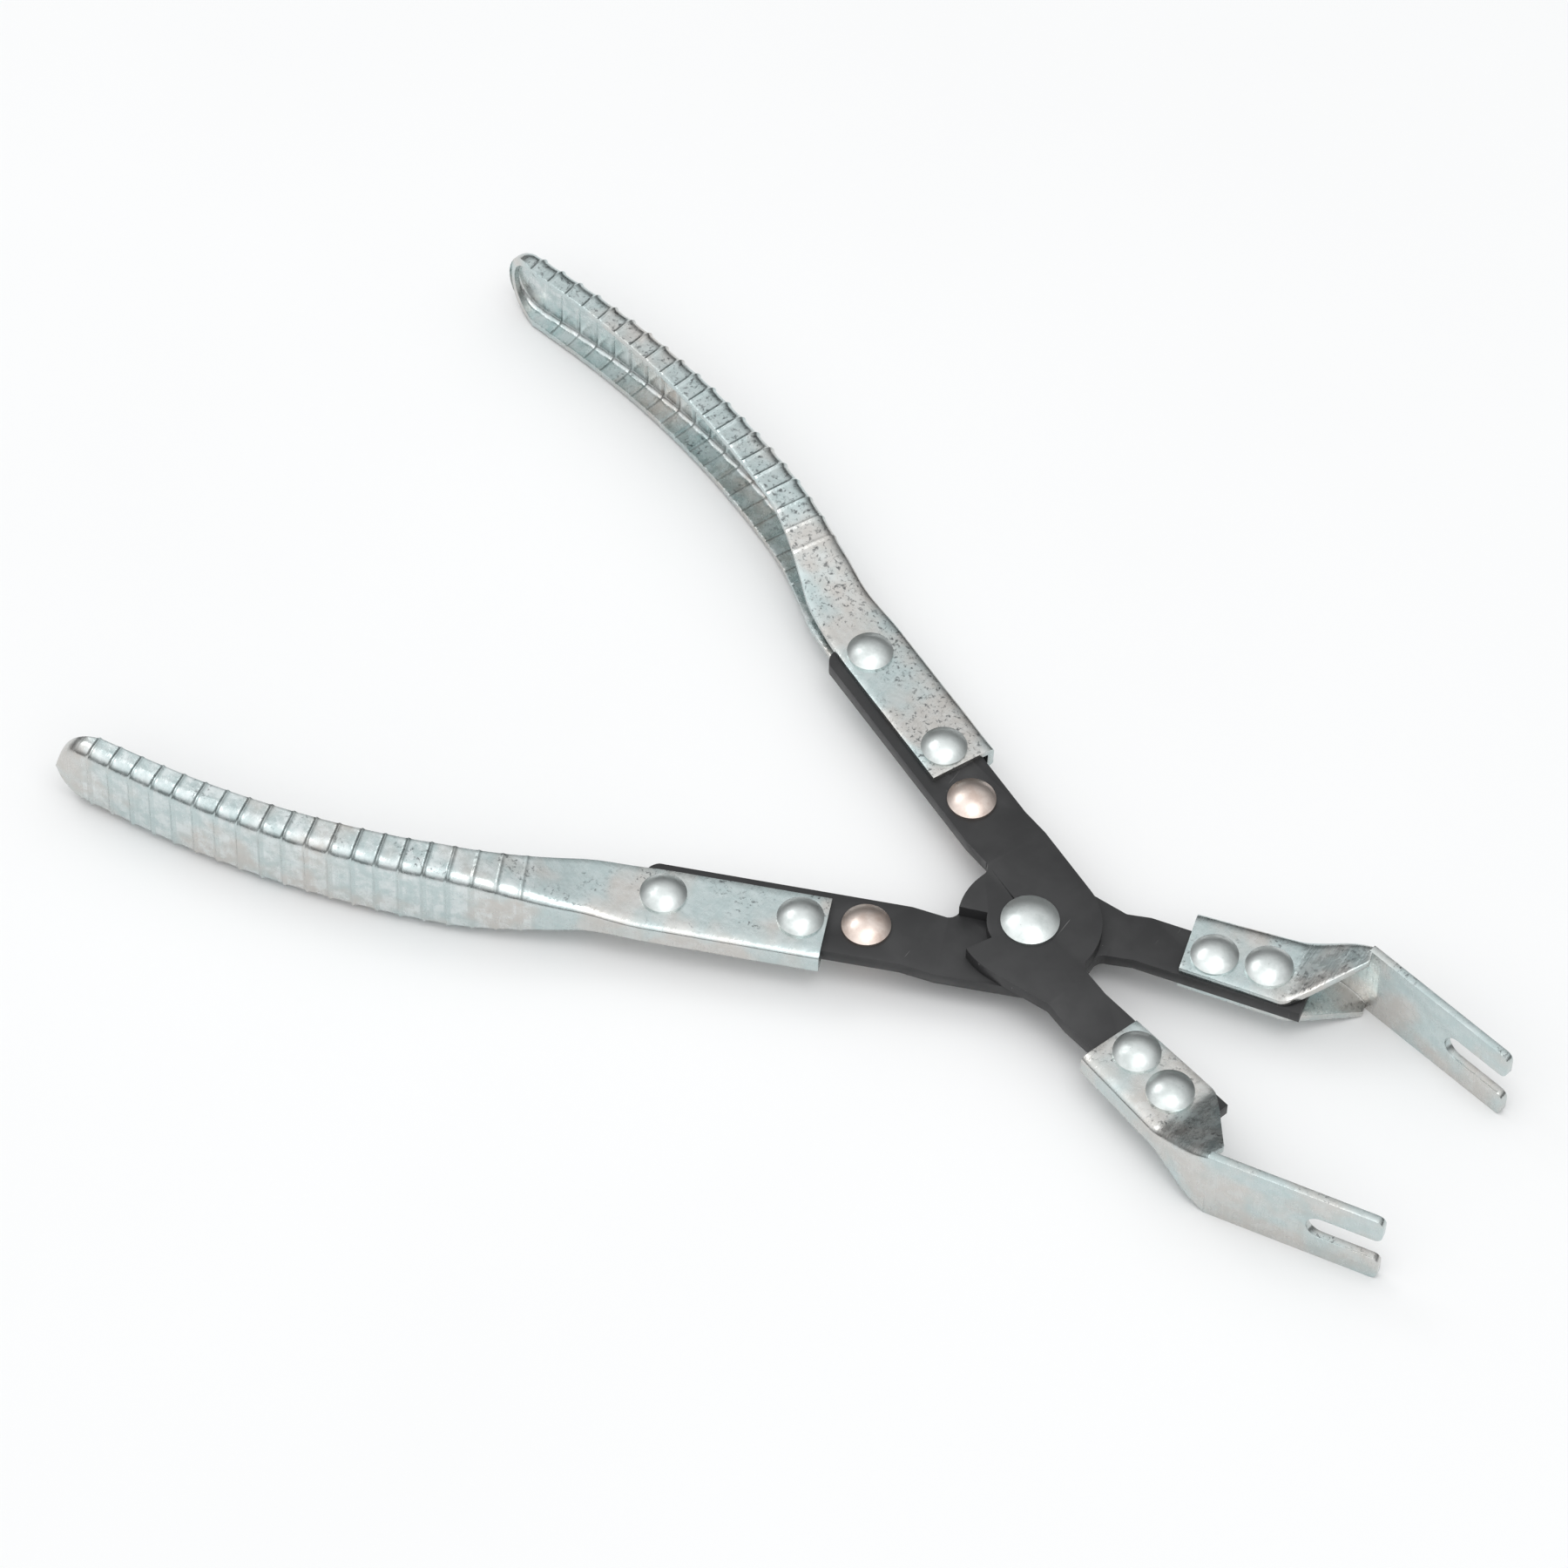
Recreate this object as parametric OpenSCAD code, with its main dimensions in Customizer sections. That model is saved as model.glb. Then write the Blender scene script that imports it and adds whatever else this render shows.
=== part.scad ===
// Two-lever trim clip pliers: crossed steel lever plates on one pivot rivet,
// with a riveted sheet-steel grip behind and a riveted slotted fork ahead on each lever.
// Origin: pivot axis at the middle plane of the tool. +X points to the forks, +Z is up.
// Every lever part is drawn once, for the upper lever: handle at +Y, fork at -Y.

/* [Lever plates] */
// Thickness of each lever plate
plate_t = 2.5; // [1.6:0.1:3.5]
// Diameter of the round boss that the levers turn on
boss_d = 24.4; // [21:0.2:30]
// Angle of the handle arm, measured from the centre line behind the pivot
handle_angle = 23.4; // [18:0.2:32]
// Angle of the jaw arm, measured from the centre line ahead of the pivot
jaw_angle = 13.5; // [11:0.5:20]
// Distance from the boss's rim to the rear end of the handle arm
handle_arm_l = 53.3; // [42.8:0.5:77.8]
// Distance from the pivot to the front end of the jaw arm
jaw_arm_l = 48; // [44:0.5:60]
// Width of the jaw arm
jaw_arm_w = 9.2; // [8:0.1:11]
// Distance of the handle arm's inner edge from its own centre line
handle_arm_in = 0.3; // [0:0.1:1]
// Distance from the boss's rim to where each arm starts to step to the middle plane
step_gap = 1.8; // [0.8:0.1:4.8]
// Length of the step in the handle arm
handle_step_l = 6; // [4:0.5:9]
// Length of the step in the jaw arm
jaw_step_l = 4.5; // [4:0.5:6]
// Radius of the fillets between the boss and the arms
crotch_r = 2; // [1:0.5:3]
// Radius of the rounded corner at the rear end of the handle arm
arm_corner_r = 3; // [1:0.5:5]
// Radius from the pivot to the floor of the boss notch
notch_r = 7.3; // [6.5:0.1:10]
// Angle that the boss notch spans
notch_span = 41; // [20:1:60]
// Direction of the middle of the boss notch
notch_middle = 221.5; // [215:0.5:230]

/* [Grips] */
// Thickness of the grip sheet
grip_sheet = 1.2; // [0.8:0.1:1.6]
// Distance from the boss's rim to the front edge of the grip
grip_start = 21.2; // [18.8:0.2:24.8]
// Length of the straight front part, which is riveted to the arm
grip_straight_l = 29; // [28:0.2:44]
// Inward turn behind the straight part, in degrees
grip_pinch = 4; // [0:0.5:6]
// Length of the pinched stretch behind that turn
grip_pinch_l = 5; // [2:0.5:8]
// Outward turn from the pinched stretch to the bow, in degrees
grip_kick = 10; // [0:0.5:12]
// Length of each of those two turns
grip_turn_l = 4; // [2:0.5:8]
// Length of the long bowed part that the hand holds
grip_bow_l = 80; // [70:1:90]
// Inward turn of the bowed part, in degrees
grip_bow_turn = 24.5; // [8:0.5:28]
// Length of the tip
grip_tip_l = 15; // [10:0.5:18]
// Inward turn of the tip, in degrees
grip_tip_turn = 0; // [0:1:45]
// Height of the grip behind the rise, without the ribs
grip_h = 15; // [12:0.2:18]
// Height that it comes to at the tip, before the end is rounded
grip_tip_h = 15.4; // [10:0.2:18]
// Width of the grip at the riveted front end, over the web
grip_flange_w = 12.3; // [11.5:0.1:13.5]
// Width of the grip along the bowed part, over the web
grip_rear_flange_w = 6.8; // [5.2:0.1:8.2]
// Width of the grip at the last rib, over the web
grip_tip_flange_w = 4.2; // [3.4:0.1:6.6]
// Width of the grip at the very end, over the web
grip_end_flange_w = 1.9; // [1.7:0.1:4]
// Number of raised ribs across each grip
rib_n = 20; // [8:1:22]
// Distance between the ribs, along the grip
rib_pitch = 4.15; // [2.5:0.05:4.3]
// Width of a rib
rib_w = 1.1; // [0.6:0.1:1.6]
// Height of a rib above the sheet
rib_h = 0.35; // [0.2:0.05:0.8]
// Plain length between the last rib and the end of the tip
rib_end_gap = 7; // [6:0.5:14]

/* [Forks] */
// Thickness of the fork sheet
fork_sheet = 1.4; // [1:0.1:1.8]
// Angle of the fork's web, measured from the centre line
fork_angle = 17; // [14:0.5:21]
// Distance from the pivot to the rear edge of the fork
fork_start = 26.4; // [24:0.2:30]
// Distance of the web's outer face from the line through the pivot along it
fork_web_out = 10.7; // [10.4:0.1:12]
// Length of the straight web beside the jaw arm
fork_web_l = 24.7; // [23:0.1:32]
// Outer radius of the bend between the web and the blade
fork_bend_r = 15; // [10:0.5:24]
// Inward turn of the blade, in degrees
fork_bend = 27.2; // [18:0.2:30]
// Length of the blade
blade_l = 30; // [22:0.1:40]
// Height of the blade
blade_h = 16.6; // [14:0.2:22]
// Width of the slot between the two prongs
slot_w = 5.4; // [4.2:0.1:8]
// Depth of the slot from the prong ends
slot_l = 13.2; // [8:0.2:20]
// Radius of the prong corners
prong_corner_r = 1.5; // [0.5:0.1:2.4]
// Width of the fork at its rear edge, over the web
fork_flange_w = 12; // [11.2:0.1:13]
// Length of the flat part of the flanges
fork_flat_l = 18.6; // [18:0.2:22]
// Length of the flared part of the flanges
fork_flare_l = 12; // [10:0.2:14]

/* [Rivets] */
// Diameter of the pivot rivet's shank
pivot_shank_d = 6; // [4:0.1:8]
// Diameter of the pivot rivet's heads
pivot_head_d = 10; // [9:0.1:12]
// Height of the pivot rivet's upper head
pivot_head_h = 1.9; // [1:0.1:3]
// Diameter of the shanks of all other rivets
shank_d = 4.5; // [3:0.1:5.5]
// Diameter of the grip rivet heads
grip_head_d = 8; // [7:0.1:9]
// Diameter of the fork rivet heads
fork_head_d = 8.2; // [7:0.1:8.6]
// Diameter of the arm rivet heads
arm_head_d = 8.4; // [7:0.1:9]
// Height of the upper heads of those rivets
head_h = 1.9; // [1:0.1:3]
// Height of the formed heads underneath
formed_head_h = 1.2; // [0.8:0.1:2]
// Distance from the boss's rim to the arm rivet
arm_rivet_x = 14.7; // [13.8:0.1:15.4]
// Distance from the grip's front edge to its front rivet
grip_rivet_x = 4.5; // [4.2:0.1:5.5]
// Distance between the two grip rivets
grip_rivet_pitch = 23.5; // [16:0.5:23.5]
// Distance from the fork's rear edge to its rear rivet
fork_rivet_x = 5; // [4.6:0.1:6]
// Distance between the two fork rivets
fork_rivet_pitch = 9.3; // [9:0.1:10.5]

/* [Fits] */
// Gap between the two bosses
boss_gap = 0.1; // [0.05:0.05:0.3]
// Radial clearance of the pivot shank in the lower lever
pivot_clear = 0.05; // [0.02:0.01:0.1]
// Gap between the lower boss and the pivot rivet's formed head
pivot_end_gap = 0.05; // [0.03:0.01:0.2]
// Gap between the handle arm's outer edge and the grip's web, which clears the sheet's bend
grip_seat_gap = 1.1; // [0.5:0.1:1.5]

/* [Hidden] */

$fn = 96;
reach = 60;            // half height or half depth that clears every outline
boss_r = boss_d / 2;
boss_low = boss_gap / 2;
boss_top = boss_low + plate_t;
arm_top = plate_t / 2;
handle_end = boss_r + handle_arm_l;
grip_front = boss_r + grip_start;
grip_flange_top = arm_top + grip_sheet;
fork_flange_top = arm_top + fork_sheet;

// Colours of the finishes
zinc = "#c9d2d6";
black_oxide = "#3b3c3e";
polished = "#d8dadb";
copper = "#c9a796";

// ---- Frames: x runs out along the arm from the pivot ----

// Handle arm frame: +Y is outward, away from the centre line
module handle_frame() mirror([1, 0, 0]) rotate([0, 0, handle_angle]) children();

// Jaw arm frame: +Y is inward, to the centre line
module jaw_frame() rotate([0, 0, -jaw_angle]) children();

// Fork web frame: +Y is inward, to the centre line
module fork_frame() rotate([0, 0, -fork_angle]) children();

// The lower lever is the upper one turned over about the X axis
module turned_over() rotate([180, 0, 0]) children();

// The same thing on the lower lever, kept the right way up
module other_side() mirror([0, 1, 0]) children();

// An outline in x and z, made solid right across the tool
module side_slab(outline) rotate([90, 0, 0]) linear_extrude(2 * reach, center = true) polygon(outline);

// An outline in x and y, made solid through the whole height
module plan_slab() linear_extrude(2 * reach, center = true) children();

// ---- Paths: each piece is [length, turn], and a state is [point, heading] ----

// Point reached after going a distance along an arc or a straight piece
function advance(at, heading, len, turn) =
    turn == 0
    ? at + len * [cos(heading), sin(heading)]
    : let (r = len / turn * 180 / PI, end = heading + turn)
      at + r * [sin(end) - sin(heading), cos(heading) - cos(end)];

// State at distance s along a list of pieces
function travel(pieces, s, at, heading = 0, i = 0) =
    let (len = pieces[i][0], turn = pieces[i][1], part = min(1, s / len))
    s <= len || i == len(pieces) - 1
    ? [advance(at, heading, part * len, part * turn), heading + part * turn]
    : travel(pieces, s - len, advance(at, heading, len, turn), heading + turn, i + 1);

// Point at an offset to the left of a state
function beside(state, off) = state[0] + off * [-sin(state[1]), cos(state[1])];

// Smooth rise from 0 to 1
function ease(t) = let (u = min(1, max(0, t))) u * u * (3 - 2 * u);

// The points of a list, last first
function reversed(list) = [for (i = [len(list) - 1 : -1 : 0]) list[i]];

// ---- Lever plate ----

// Fillet between the boss and an arm edge at height "edge", on the side given by +1 or -1
module crotch_fillet(edge, side) {
    centre_y = edge + side * crotch_r;
    centre_x = sqrt(pow(boss_r + crotch_r, 2) - pow(centre_y, 2));
    difference() {
        polygon([[0, 0], [centre_x, edge], [centre_x, centre_y]]);
        translate([centre_x, centre_y]) circle(crotch_r);
    }
}

// Cuts a convex corner at the origin to a radius; the outline lies towards -X and +Y
module corner_cut(r) {
    inset = 0.96 * r;  // the arc meets both edges at a slight angle
    difference() {
        translate([-inset, -r]) square(inset + r);
        translate([-inset, inset]) circle(r);
    }
}

module handle_arm_outline() {
    difference() {
        translate([0, handle_arm_in]) square([handle_end, boss_r - handle_arm_in]);
        translate([handle_end, handle_arm_in]) corner_cut(arm_corner_r);
    }
    crotch_fillet(handle_arm_in, -1);
}

jaw_arm_in = 0.1;
jaw_arm_out = jaw_arm_in - jaw_arm_w;

module jaw_arm_outline() {
    difference() {
        translate([0, jaw_arm_out]) square([jaw_arm_l, jaw_arm_w]);
        translate([jaw_arm_l, jaw_arm_out]) corner_cut(1);
    }
    crotch_fillet(jaw_arm_in, 1);
    // the outer edge leaves the boss along a tangent
    rotate(jaw_angle) polygon([
        [0, 0], [0, -boss_r],
        [(boss_r * cos(jaw_angle) + jaw_arm_out) / sin(jaw_angle), -boss_r]
    ]);
}

// The notch in the boss edge
module boss_notch_outline() difference() {
    rotate(notch_middle) polygon([
        [0, 0],
        2 * boss_r * [cos(notch_span / 2), -sin(notch_span / 2)],
        2 * boss_r * [cos(notch_span / 2), sin(notch_span / 2)]
    ]);
    circle(notch_r);
}

// Side outline of an arm: level with the boss, then stepped to the middle plane
function arm_side(start, step_l, length) = [
    [-1, boss_low], [start, boss_low], [start + step_l, -arm_top], [length + 1, -arm_top],
    [length + 1, arm_top], [start + step_l, arm_top], [start, boss_top], [-1, boss_top]
];

module lever_plate(pivot_hole_d) {
    difference() {
        union() {
            translate([0, 0, boss_low]) cylinder(r = boss_r, h = plate_t);
            handle_frame() intersection() {
                plan_slab() handle_arm_outline();
                side_slab(arm_side(boss_r + step_gap, handle_step_l, handle_end));
            }
            jaw_frame() intersection() {
                plan_slab() jaw_arm_outline();
                side_slab(arm_side(boss_r + step_gap, jaw_step_l, jaw_arm_l));
            }
        }
        plan_slab() boss_notch_outline();
        cylinder(d = pivot_hole_d, h = 4 * plate_t, center = true);
        at_arm_rivet() rivet_hole();
        at_grip_rivet(0) rivet_hole();
        at_grip_rivet(1) rivet_hole();
        at_fork_rivet(0) rivet_hole();
        at_fork_rivet(1) rivet_hole();
    }
}

// ---- Grip ----

grip_out = boss_r + grip_seat_gap + grip_sheet;
grip_pieces = [
    [grip_straight_l, 0], [grip_turn_l, -grip_pinch], [grip_pinch_l, 0],
    [grip_turn_l, grip_kick], [grip_bow_l, -grip_bow_turn], [grip_tip_l, -grip_tip_turn]
];
grip_rise = grip_straight_l + grip_pinch_l + 2 * grip_turn_l; // where the bow starts
rise_gap = 0.2;        // level length behind the rear rivet's head
rise_start = grip_rivet_x + grip_rivet_pitch + grip_head_d / 2 + rise_gap;
grip_l = grip_rise + grip_bow_l + grip_tip_l;
grip_bend_n = 28;      // stations along the bent part
grip_end_n = 5;        // stations round the end of the tip
grip_end_r = 5.5;      // length of the rounded end of the tip

// State of the web's outer face at distance s from the front edge
function grip_state(s) = travel(grip_pieces, s, [grip_front, grip_out]);

// Stations along the grip, for a path that ends at "last"
function grip_stations(last) = concat(
    [0],
    grip_straight_l < rise_start ? [grip_straight_l] : [],
    [for (i = [0 : grip_bend_n]) rise_start + (last - grip_end_r - rise_start) * i / grip_bend_n],
    [for (i = [1 : grip_end_n]) last - grip_end_r * (1 - sin(80 * i / grip_end_n))]
);

// Height rises behind the rear rivet's head, then changes a little to the tip
rise_l = 24;           // length of the bow that the height takes to rise in
function taper(s) = (grip_h - grip_tip_h) / 2 * max(0, (s - grip_rise - rise_l) / (grip_l - grip_rise - rise_l));
function grip_half(s) =
    grip_flange_top
    + (grip_h / 2 - grip_flange_top) * ease((s - rise_start) / (grip_rise + rise_l - rise_start))
    - taper(s);

// Rounding of the height at the end of the tip
function tip_round(s, last) = sqrt(1 - pow(max(0, s - last + grip_end_r) / grip_end_r, 2));

function outer_half(s) = grip_half(s) * tip_round(s, grip_l);
function cavity_half(s) = (grip_half(s) - grip_sheet) * tip_round(s, grip_l - grip_sheet);

// The width over the web narrows behind the rivets, again along the bow, and fast round the tip
function width(s) =
    let (
        last_rib = grip_l - rib_end_gap,
        narrowing = ease((s - grip_straight_l + 2) / (grip_rise + rise_l + 2 - grip_straight_l)),
        to_tip = min(1, max(0, (s - grip_rise - rise_l) / (last_rib - grip_rise - rise_l))),
        to_end = max(0, (s - last_rib) / rib_end_gap)
    )
    grip_flange_w + (grip_rear_flange_w - grip_flange_w) * narrowing
    + (grip_tip_flange_w - grip_rear_flange_w) * to_tip
    + (grip_end_flange_w - grip_tip_flange_w) * to_end;

grip_all = grip_stations(grip_l);
grip_inside = grip_stations(grip_l - grip_sheet);
grip_outline = concat(
    [for (s = grip_all) beside(grip_state(s), 0)],
    reversed([for (s = grip_all) beside(grip_state(s), -width(s))])
);
cavity_outline = concat(
    [beside([[grip_front - 1, grip_out], 0], -grip_sheet)],
    [for (s = grip_inside) beside(grip_state(s), -grip_sheet)],
    reversed([for (s = grip_all) beside(grip_state(s), -width(s) - 1)]),
    [[grip_front - 1, grip_out - grip_flange_w - 1]]
);
outer_side = concat(
    [for (s = grip_all) [grip_state(s)[0][0], outer_half(s)]],
    reversed([for (s = grip_all) [grip_state(s)[0][0], -outer_half(s)]])
);
cavity_side = concat(
    [[grip_front - 1, arm_top]],
    [for (s = grip_inside) [grip_state(s)[0][0], cavity_half(s)]],
    reversed([for (s = grip_inside) [grip_state(s)[0][0], -cavity_half(s)]]),
    [[grip_front - 1, -arm_top]]
);

// One rib: a raised strap across both flanges and the web
module rib(s) {
    state = grip_state(s);
    half = outer_half(s);
    root = grip_sheet / 2;
    strap_w = width(s) - root;
    translate(state[0]) rotate([0, 0, state[1]]) difference() {
        translate([-rib_w / 2, -strap_w, -half - rib_h])
            cube([rib_w, strap_w + rib_h, 2 * (half + rib_h)]);
        translate([-rib_w, -2 * strap_w - root, -half + root])
            cube([2 * rib_w, 2 * strap_w, 2 * (half - root)]);
    }
}

module grip() handle_frame() difference() {
    union() {
        difference() {
            intersection() {
                plan_slab() polygon(grip_outline);
                side_slab(outer_side);
            }
            intersection() {
                plan_slab() polygon(cavity_outline);
                side_slab(cavity_side);
            }
        }
        for (i = [0 : rib_n - 1]) rib(grip_l - rib_end_gap - i * rib_pitch);
    }
    grip_rivet_place(0) rivet_hole();
    grip_rivet_place(1) rivet_hole();
}

// ---- Fork ----

fork_pieces = [
    [fork_web_l, 0], [fork_bend_r * fork_bend * PI / 180, fork_bend], [blade_l, 0]
];
fork_l = fork_web_l + fork_bend_r * fork_bend * PI / 180 + blade_l;
fork_bend_n = 7;       // stations round the bend
flare_start = fork_start + fork_flat_l;
flare_end = flare_start + fork_flare_l;

function fork_state(s) = travel(fork_pieces, s, [fork_start, -fork_web_out]);

fork_stations = concat(
    [0],
    [for (i = [0 : fork_bend_n]) fork_web_l + (fork_l - blade_l - fork_web_l) * i / fork_bend_n],
    [fork_l]
);

// Outer side outline: level with the flat flanges, then rising with the flare
flare_slope = (blade_h / 2 - fork_flange_top) / fork_flare_l;
fork_side = [
    [fork_start, fork_flange_top], [flare_start, fork_flange_top],
    [flare_end, blade_h / 2], [2 * reach, blade_h / 2],
    [2 * reach, -blade_h / 2], [flare_end, -blade_h / 2],
    [flare_start, -fork_flange_top], [fork_start, -fork_flange_top]
];

// Side outline of the hollow: between the flanges, then open past the end of the flare
flare_sheet = fork_sheet * sqrt(1 + flare_slope * flare_slope);
hollow_side = [
    [fork_start - 1, arm_top],
    [flare_start + (flare_sheet - fork_sheet) / flare_slope, arm_top],
    [flare_end, blade_h / 2 - flare_sheet], [flare_end, reach], [2 * reach, reach],
    [2 * reach, -reach], [flare_end, -reach], [flare_end, flare_sheet - blade_h / 2],
    [flare_start + (flare_sheet - fork_sheet) / flare_slope, -arm_top],
    [fork_start - 1, -arm_top]
];

// Plan outline from the web's outer face to the flanges' inner edge
flange_in = fork_flange_w - fork_web_out;
flange_nose_r = 2.5;   // radius of the inner corner where the flare starts
flange_point_in = 4.6; // distance of the flare's point from the web line
past_flare = 6;        // distance past the flare where the outline nears the blade
fork_outline = concat(
    [for (s = fork_stations) beside(fork_state(s), 0)],
    [
        beside(fork_state(fork_l), 2 * fork_sheet),
        beside(fork_state(flare_end - fork_start + past_flare), 2 * fork_sheet),
        [flare_end, flange_point_in - fork_web_out],
        [flare_start + fork_flare_l / 3, flange_in - 1.3]
    ],
    [for (a = [50 : 10 : 90])
        [flare_start - 0.6, flange_in + 1.2 - flange_nose_r] + flange_nose_r * [cos(a), sin(a)]],
    [[fork_start + 0.4, flange_in]]
);

// Plan outline of the hollow, which leaves the web along its outer side
function along(state, len) = [state[0] + len * [cos(state[1]), sin(state[1])], state[1]];
hollow_outline = concat(
    [[fork_start - 1, fork_sheet - fork_web_out]],
    [for (s = fork_stations) beside(fork_state(s), fork_sheet)],
    [beside(along(fork_state(fork_l), 1), fork_sheet), [2 * reach, reach], [fork_start - 1, reach]]
);

// Elevation of what is cut from the blade: the slot and the four prong corners
module blade_cuts() rotate([90, 0, 0]) linear_extrude(4 * fork_sheet, center = true) {
    hollow = blade_l - slot_l + slot_w / 2;
    translate([hollow, 0]) circle(d = slot_w);
    translate([hollow, -slot_w / 2]) square([slot_l, slot_w]);
    for (side = [-1, 1]) {
        scale([1, side, 1]) translate([blade_l, slot_w / 2]) corner_cut(prong_corner_r);
        scale([1, -side, 1]) translate([blade_l, -blade_h / 2]) corner_cut(prong_corner_r);
    }
}

module blade_frame() {
    state = fork_state(fork_l - blade_l);
    translate(state[0]) rotate([0, 0, state[1]]) children();
}

module fork() fork_frame() difference() {
    intersection() {
        plan_slab() polygon(fork_outline);
        side_slab(fork_side);
    }
    intersection() {
        plan_slab() polygon(hollow_outline);
        side_slab(hollow_side);
    }
    blade_frame() blade_cuts();
    fork_rivet_place(0) rivet_hole();
    fork_rivet_place(1) rivet_hole();
}

// ---- Rivets ----

// Places of the rivets on the upper lever, each in its own frame
grip_rivet_y = grip_out - grip_flange_w + 5;
arm_rivet_y = (boss_r + handle_arm_in) / 2 - 0.5;
fork_rivet_in = 7.8;   // rear fork rivet's distance from the web's outer face
fork_rivet_drift = 0.6; // how much nearer to the web the front one sits

module grip_rivet_place(i)
    translate([grip_front + grip_rivet_x + i * grip_rivet_pitch, grip_rivet_y]) children();
module fork_rivet_place(i)
    translate([
        fork_start + fork_rivet_x + i * fork_rivet_pitch,
        fork_rivet_in - i * fork_rivet_drift - fork_web_out
    ]) children();
module at_arm_rivet() handle_frame() translate([boss_r + arm_rivet_x, arm_rivet_y]) children();
module at_grip_rivet(i) handle_frame() grip_rivet_place(i) children();
module at_fork_rivet(i) fork_frame() fork_rivet_place(i) children();

module rivet_hole() cylinder(d = shank_d, h = 6 * plate_t, center = true);

// A domed head that stands on z = 0, with a short straight rim
module head(d, h) {
    rim = h / 4;
    rise = h - rim;
    dome_r = (d * d / 4 + rise * rise) / (2 * rise);
    cylinder(d = d, h = rim);
    intersection() {
        translate([0, 0, h - dome_r]) sphere(dome_r);
        cylinder(d = d, h = h);
    }
}

// A rivet from z = low to z = high, with a domed head above and a formed head below
module rivet(d, low, high, top_h = head_h, stem_d = shank_d) {
    translate([0, 0, low]) cylinder(d = stem_d, h = high - low);
    translate([0, 0, high]) head(d, top_h);
    mirror([0, 0, 1]) translate([0, 0, -low]) head(d, formed_head_h);
}

// ---- Nodes ----

module lever_upper() color(black_oxide) lever_plate(pivot_shank_d);
module lever_lower() color(black_oxide) turned_over() lever_plate(pivot_shank_d + 2 * pivot_clear);
module pivot_rivet() color(polished)
    rivet(pivot_head_d, -boss_top - pivot_end_gap, boss_top, pivot_head_h, pivot_shank_d);
module grip_upper() color(zinc) grip();
module grip_lower() color(zinc) other_side() grip();
module fork_upper() color(zinc) fork();
module fork_lower() color(zinc) other_side() fork();

module arm_rivet() color(copper) at_arm_rivet() rivet(arm_head_d, -arm_top, arm_top);
module grip_rivet(i) color(polished)
    at_grip_rivet(i) rivet(grip_head_d, -grip_flange_top, grip_flange_top);
module fork_rivet(i) color(polished)
    at_fork_rivet(i) rivet(fork_head_d, -fork_flange_top, fork_flange_top);

lever_upper();
lever_lower();
pivot_rivet();
grip_upper();
grip_lower();
fork_upper();
fork_lower();
arm_rivet();  // arm_rivet_upper
other_side() arm_rivet();  // arm_rivet_lower
grip_rivet(0);  // grip_rivet_upper_front
grip_rivet(1);  // grip_rivet_upper_rear
other_side() grip_rivet(0);  // grip_rivet_lower_front
other_side() grip_rivet(1);  // grip_rivet_lower_rear
fork_rivet(1);  // fork_rivet_upper_front
fork_rivet(0);  // fork_rivet_upper_rear
other_side() fork_rivet(1);  // fork_rivet_lower_front
other_side() fork_rivet(0);  // fork_rivet_lower_rear
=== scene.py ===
import math

import bmesh
import bpy
from mathutils import Matrix, Vector, noise


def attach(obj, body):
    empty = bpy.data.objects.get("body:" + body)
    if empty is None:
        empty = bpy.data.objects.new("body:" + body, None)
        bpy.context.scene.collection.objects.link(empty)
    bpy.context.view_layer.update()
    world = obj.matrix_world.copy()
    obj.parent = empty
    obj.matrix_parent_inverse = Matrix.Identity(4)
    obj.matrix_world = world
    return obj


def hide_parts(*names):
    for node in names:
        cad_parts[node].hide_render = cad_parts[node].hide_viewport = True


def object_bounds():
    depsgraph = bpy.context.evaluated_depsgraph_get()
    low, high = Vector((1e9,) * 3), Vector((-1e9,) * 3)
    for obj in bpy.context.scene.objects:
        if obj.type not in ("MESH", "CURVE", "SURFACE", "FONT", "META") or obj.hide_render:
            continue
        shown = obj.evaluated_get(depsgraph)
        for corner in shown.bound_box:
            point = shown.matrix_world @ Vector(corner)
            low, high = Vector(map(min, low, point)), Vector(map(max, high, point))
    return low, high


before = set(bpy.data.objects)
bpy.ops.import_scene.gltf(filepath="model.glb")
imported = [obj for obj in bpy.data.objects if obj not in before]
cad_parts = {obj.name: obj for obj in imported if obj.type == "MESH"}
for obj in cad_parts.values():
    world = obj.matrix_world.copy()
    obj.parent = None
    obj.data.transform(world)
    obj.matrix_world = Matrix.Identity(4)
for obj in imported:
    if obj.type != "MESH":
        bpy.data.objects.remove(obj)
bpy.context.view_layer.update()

MM = 0.001                  # one millimetre in the scene's metres

# ---- Sizes of the sheet parts, in millimetres, as in the CAD model ----

ARM_TOP = 1.25           # half thickness of a lever plate
BOSS_R = 12.2

HANDLE_ANGLE = math.radians(23.4)
GRIP_SHEET = 1.2
GRIP_START = 33.4
GRIP_SEAT_GAP = 1.1
GRIP_OUT = BOSS_R + GRIP_SEAT_GAP + GRIP_SHEET
GRIP_STRAIGHT = 29.0
GRIP_PIECES = [             # length and turn in degrees: to the rivets, pinched, bowed, tip
    (GRIP_STRAIGHT, 0.0), (4.0, -4.0), (5.0, 0.0),
    (4.0, 10.0), (80.0, -24.5), (15.0, 0.0),
]
GRIP_RISE = sum(piece[0] for piece in GRIP_PIECES[:4])
GRIP_LENGTH = sum(piece[0] for piece in GRIP_PIECES)
GRIP_FRONT_HALF = ARM_TOP + GRIP_SHEET
GRIP_HALF = 7.5
GRIP_TIP_HALF = 7.7
GRIP_WIDTHS = (12.3, 6.8, 4.2, 1.9)   # at the rivets, along the bow, at the last rib, at the end
RISE_START = 32.2           # behind the rear rivet's head
RISE_LENGTH = 24.0
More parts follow.
